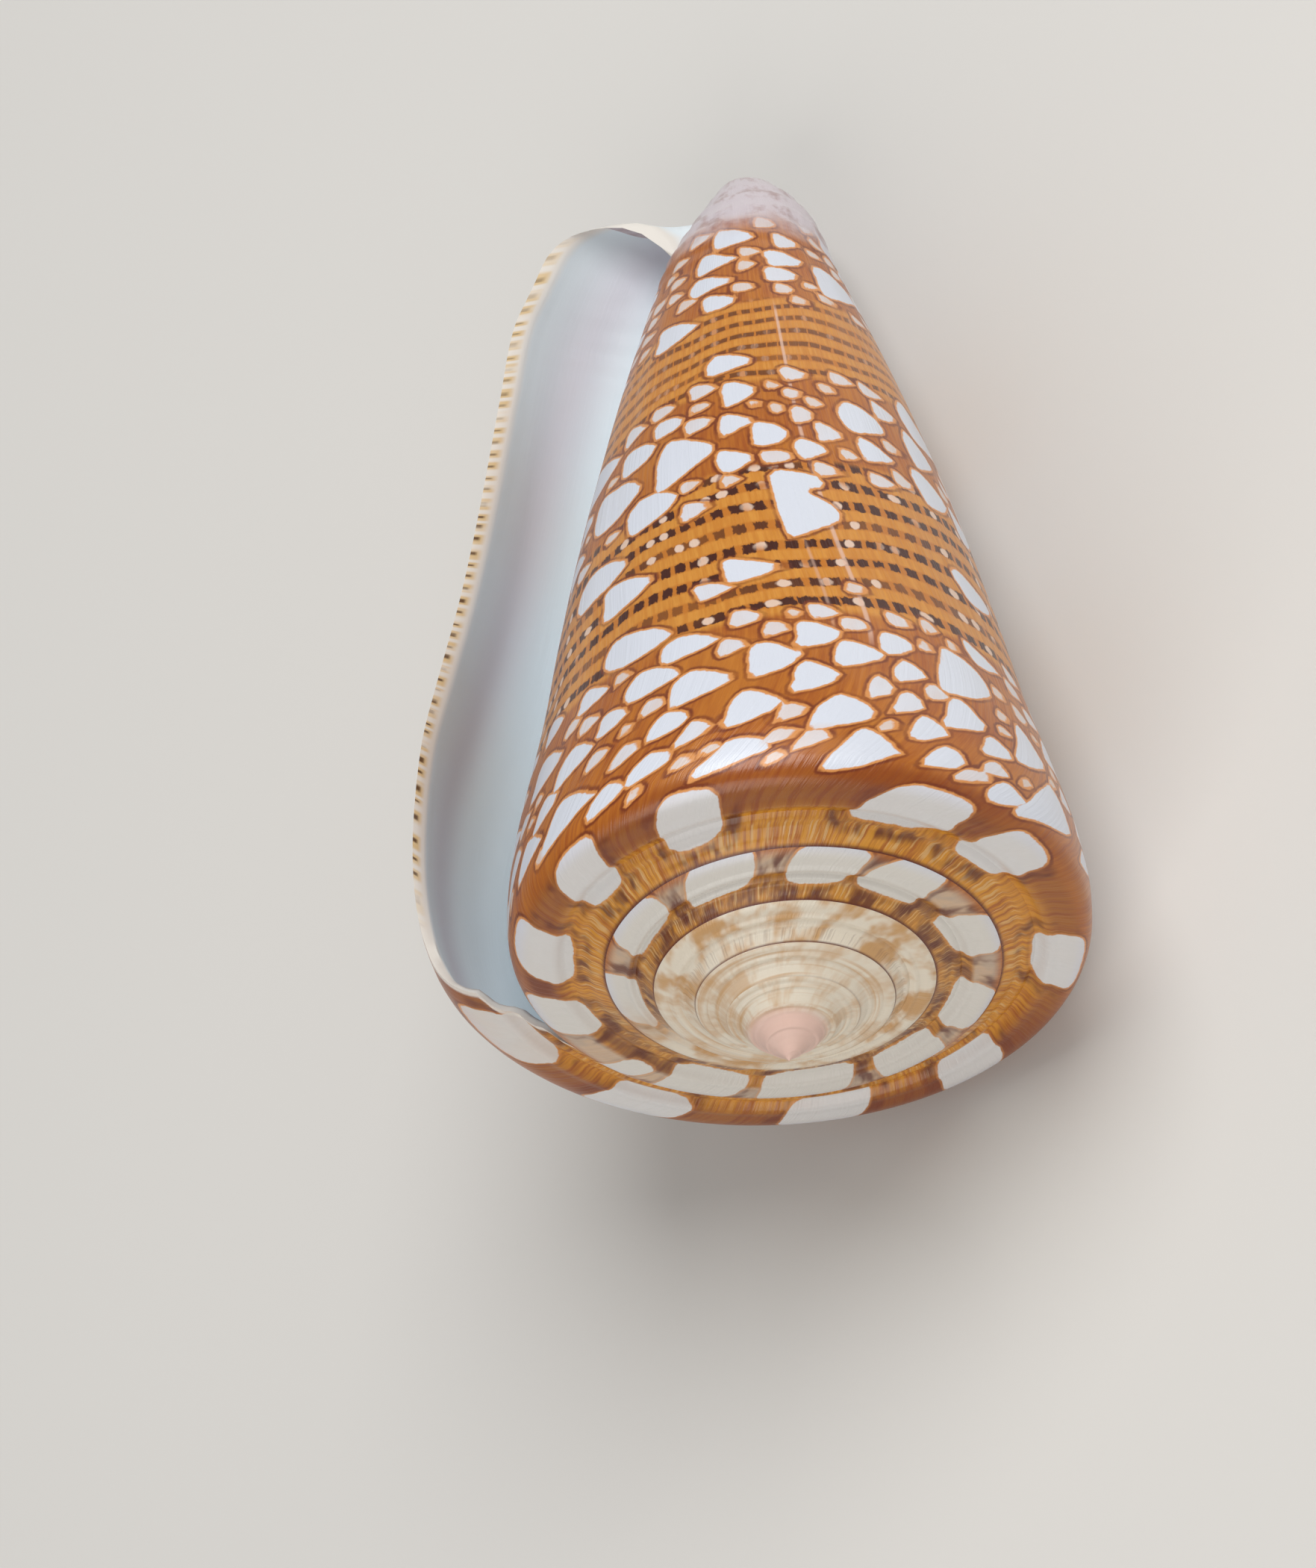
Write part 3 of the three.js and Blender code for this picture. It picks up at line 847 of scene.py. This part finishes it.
    # here and there a white dot sits between two dashes
    cell = add("Math", wholePart, [add("Math", plus, [dashAt, 0.5])])
    cell = add("Math", timesPlus, [lineNumber, 57.0, cell])
    dotChance = add("TexWhiteNoise", oneNumber, [cell])
    dotChance = add("Math", plus, [dotChance, grain(12, 0.3, 2.0, 19.0)])
    alongLine = add("Math", times, [add("Math", minus, [0.5, beat]), 0.75])
    acrossLine = add("Math", times, [fromLine, 1.2])
    squares = [add("Math", power, [reach, 2.0]) for reach in (alongLine, acrossLine)]
    dotReach = add("Math", squareRoot, [add("Math", plus, squares)])
    dotReach = add("Math", timesPlus, [ragged, 0.5, dotReach])
    dot = allOf(add("MapRange", smooth, [dotReach, 0.29, 0.19]), inBand)
    dot = allOf(dot, add("MapRange", smooth, [dotChance, 1.16, 1.28]))
    ground = lay(ground, colour["dot"], allOf(dot, add("Math", timesPlus, [isUpper, -0.8, 1.0])))

    # pale lines where the shell once stopped growing
    scar = allOf(within(turn, 0.7165, 0.7195, 0.0008), within(down, 8.0, 31.0, 0.8))
    ground = lay(ground, colour["scar"], scar, 0.75)
    scar = allOf(within(turn, 0.7385, 0.7405, 0.0008), within(down, 8.5, 14.0, 0.8))
    ground = lay(ground, colour["scar"], scar, 0.4)

    # ramps: curved growth lines, pale ticks along the suture and dark corners beside the blotches
    onRamp = add("MapRange", smooth, [down, 0.2, -0.5])
    ramp = lay(colour["rampDark"], colour["rampLight"], patches(300, 0.4, 2.0, 7.0, 0.3, 0.62))
    ramp = lay(ramp, colour["rampRim"], add("MapRange", smooth, [rampShare, 0.6, 1.0]), 0.6)
    older = add("MapRange", smooth, [turn, 0.98, 1.04])
    ramp = lay(ramp, colour["tan"], older, 0.4)
    ramp = lay(ramp, colour["rampPurple"], allOf(older, patches(36, 0.9, 2.0, 17.0, 0.42, 0.6)), 0.6)
    paleRim = allOf(add("MapRange", smooth, [rampShare, 0.76, 0.9]), older)
    ramp = lay(ramp, colour["cream"], paleRim, 0.45)
    ticks = allOf(patches(330, 0.4, 1.0, 12.0, 0.52, 0.62), within(rampShare, 0.08, 0.42, 0.06))
    ramp = lay(ramp, colour["rampTick"], ticks, 0.7)
    beside = allOf(within(distance, -0.75, -0.1, 0.2), patches(60, 0.6, 2.0, 3.0, 0.42, 0.62))
    ramp = lay(ramp, colour["rampEdge"], beside, 0.85)
    ground = lay(ground, ramp, onRamp)
    shoulderDark = allOf(within(down, -1.5, 0.9, 0.4), patches(5, 0.1, 1.0, 31.0, 0.36, 0.56))
    shoulderDark = allOf(shoulderDark, add("MapRange", smooth, [turn, 1.04, 0.98]))
    ground = lay(ground, colour["rampRim"], shoulderDark, 0.7)

    # the white marks, each with a dark outline and a lighter fringe, both weaker on a ramp
    outline = allOf(outline, add("Math", timesPlus, [onRamp, -0.7, 0.9]))
    broken = patches(30, 0.8, 2.0, 23.0, 0.36, 0.6)
    outline = allOf(outline, add("Math", timesPlus, [broken, 0.6, 0.4]))
    outside = lay(ground, colour["outline"], outline)
    fringe = allOf(fringe, add("Math", timesPlus, [onRamp, -0.6, 1.0]))
    outside = lay(outside, colour["fringe"], fringe)
    tent = lay(colour["tentWhite"], colour["tentPink"], tone)
    tent = lay(tent, colour["tentWhite"], patches(40, 0.5, 2.0, 6.0, 0.4, 0.7), 0.4)
    creamy = add("MapRange", smooth, [turn, 0.9, 1.1])
    creamy = allOf(onRamp, add("Math", timesPlus, [creamy, 0.4, 0.6]))
    tent = lay(tent, colour["blotchCream"], creamy)
    outside = lay(outside, tent, white)

    # the front tip is worn to a lilac grey
    tipEdge = add("Math", timesPlus, [grain(12, 0.3, 2.0, 8.0), 3.0, down])
    tip = lay(colour["tip"], colour["tipBrown"], patches(22, 0.9, 3.0, 1.0, 0.46, 0.7), 0.65)
    outside = lay(outside, tip, add("MapRange", smooth, [tipEdge, 38.6, 41.5]))

    # older whorls fade to cream, and the first ones are pink
    patchy = add("Math", timesPlus, [grain(90, 0.5, 1.0, 21.0), 0.12, grain(15, 0.45, 3.0, 10.0)])
    tanned = add("MapRange", smooth, [patchy, 0.47, 0.67])
    cream = lay(colour["cream"], colour["tan"], tanned, 0.85)
    cream = lay(cream, colour["rampPurple"], ticks, 0.22)
    outside = lay(outside, cream, add("MapRange", smooth, [turn, 1.98, 2.12]))
    rings = lay(colour["cream"], colour["tan"], patches(3, 3.5, 2.0, 14.0, 0.48, 0.72), 0.55)
    rings = lay(rings, colour["tan"], add("MapRange", smooth, [patchy, 0.48, 0.7]), 0.5)
    outside = lay(outside, rings, add("MapRange", smooth, [turn, 2.9, 3.1]))
    apex = add("MapRange", smooth, [radius, 1.85, 1.35])
    apex = allOf(apex, add("MapRange", smooth, [turn, 3.0, 3.5]))
    outside = lay(outside, colour["apex"], apex)
    # a dark line along the suture, fading towards the apex: painted shade in the groove where one whorl
    # meets the next
    suture = add("MapRange", smooth, [rampShare, 0.07, 0.0])
    suture = allOf(suture, add("MapRange", smooth, [turn, 4.2, 2.4]))
    outside = lay(outside, colour["rampEdge"], suture)
    # the lip's edge is pale on its outer side too
    outside = lay(outside, colour["rim"], add("MapRange", smooth, [edge, 0.45, 0.2]), 0.85)

    # the mouth: bluish white with a greyer strip of painted shade where the inside curves, and a row of dark
    # dots along the cream rim
    mouth = lay(colour["insideWhite"], colour["mouthPaintedShade"], within(edge, 2.2, 4.6, 1.4), 0.55)
    mouth = lay(mouth, colour["rim"], add("MapRange", smooth, [edge, 0.85, 0.25]))
    rimCount = add("Math", times, [down, 1.25])
    rimCount = add("Math", timesPlus, [grain(0.0, 0.7, 2.0, 33.0), 1.6, rimCount])
    rimBeat = fromMiddle(rimCount)
    onRim = allOf(add("MapRange", smooth, [edge, 0.36, 0.16]), within(down, 3.0, 42.5, 1.5))
    onRim = allOf(onRim, patches(0.0, 0.9, 2.0, 27.0, 0.3, 0.55))
    halo = allOf(add("MapRange", smooth, [rimBeat, 0.44, 0.24]), onRim)
    mouth = lay(mouth, colour["halo"], halo, 0.8)
    spot = allOf(add("MapRange", smooth, [rimBeat, 0.18, 0.05]), add("MapRange", smooth, [edge, 0.22, 0.1]))
    fading = add("MapRange", smooth, [down, 24.0, 36.0])
    fading = add("Math", timesPlus, [fading, -0.45, 1.0])
    mouth = lay(mouth, colour["rimDot"], allOf(spot, fading, onRim), 0.9)
    corner = allOf(within(edge, 0.3, 0.7, 0.1), add("MapRange", smooth, [down, 0.6, -0.6]))
    mouth = lay(mouth, colour["rampEdge"], corner, 0.75)

    # fine growth lines can be felt outside, and hardly inside
    outer = add("Math", timesPlus, [inside, -0.8, 1.0])
    relief = {
        "Strength": glaze["reliefStrength"],
        "Distance": glaze["reliefDepth"],
        "Height": allOf(grain(420, 0.12, 3.0, 20.0), outer),
    }
    surface = add("BsdfPrincipled", None, {
        "Base Color": lay(outside, mouth, inside),
        "Roughness": glaze["roughness"],
        "IOR": glaze["ior"],
        "Coat Weight": glaze["coat"],
        "Coat Roughness": glaze["coatRoughness"],
        "Normal": add("Bump", None, relief),
    })
    add("OutputMaterial", None, [surface])
    return material


shell.data.materials.append(glazedShell())
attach(shell, "root")
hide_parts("shell")
print("glaze done")

# The camera's place in the upright shell's millimetres. It is laid down with the shell.
view = {
    "from": (-4.83, 164.47, 114.36),
    "back": (0.0, 0.78747, 0.61635),
    "up": (0.03933, 0.61587, -0.78686),
    "lens": 114.4,
    "sensor": 36,
    "clip": (0.01, 10),  # metres
}


def addCamera():
    back = Vector(view["back"]).normalized()
    right = Vector(view["up"]).cross(back).normalized()
    up = back.cross(right)
    turned = Matrix((right, up, back)).transposed().to_4x4()
    place = Matrix.Translation(Vector(view["from"]) * mm) @ turned
    data = bpy.data.cameras.new("camera")
    data.lens = view["lens"]
    data.sensor_width = view["sensor"]
    data.clip_start, data.clip_end = view["clip"]
    camera = bpy.data.objects.new("camera", data)
    camera.matrix_world = shellToWorld @ place
    bpy.context.collection.objects.link(camera)
    bpy.context.scene.camera = camera


addCamera()

# A pale card floor and soft lamps. Each lamp is (place, size, watts, colour), in metres.
studio = {
    "floorSize": 1.5,
    "floorColour": "#DAD8D4",
    "floorRoughness": 0.9,
    "world": 0.27,
    "aim": (0, 0, 0.01),
    "lamps": {
        "overhead": ((0.2, 0.16, 0.42), 0.36, 1.65, "#FFFFFF"),
        "front": ((-0.05, -0.42, 0.28), 0.4, 0.95, "#FFFCF8"),
        "rim": ((0.4, 0.3, 0.3), 0.3, 0.3, "#FFF6EA"),
    },
}


def addStudio():
    plane = bmesh.new()
    bmesh.ops.create_grid(plane, x_segments=1, y_segments=1, size=studio["floorSize"])
    mesh = bpy.data.meshes.new("floor")
    plane.to_mesh(mesh)
    plane.free()
    floor = bpy.data.objects.new("floor", mesh)
    bpy.context.collection.objects.link(floor)
    card = bpy.data.materials.new("mattCard")  # uncoated card, even and without gloss
    card.use_nodes = True
    surface = card.node_tree.nodes["Principled BSDF"]
    surface.inputs["Base Color"].default_value = linear(studio["floorColour"])
    surface.inputs["Roughness"].default_value = studio["floorRoughness"]
    mesh.materials.append(card)
    for name, (place, size, watts, colour) in studio["lamps"].items():
        data = bpy.data.lights.new(name, "AREA")
        data.shape = "DISK"
        data.size = size
        data.energy = watts
        data.color = linear(colour)[:3]
        lamp = bpy.data.objects.new(name, data)
        lamp.location = place
        lamp.rotation_mode = "QUATERNION"
        lamp.rotation_quaternion = (Vector(place) - Vector(studio["aim"])).to_track_quat("Z", "Y")
        bpy.context.collection.objects.link(lamp)
    world = bpy.data.worlds.new("studio")
    world.use_nodes = True
    background = world.node_tree.nodes["Background"]
    background.inputs["Color"].default_value = (1, 1, 1, 1)
    background.inputs["Strength"].default_value = studio["world"]
    bpy.context.scene.world = world
    bpy.context.scene.view_settings.view_transform = "Standard"  # keeps the glaze's colours as they are


addStudio()
print("studio done")
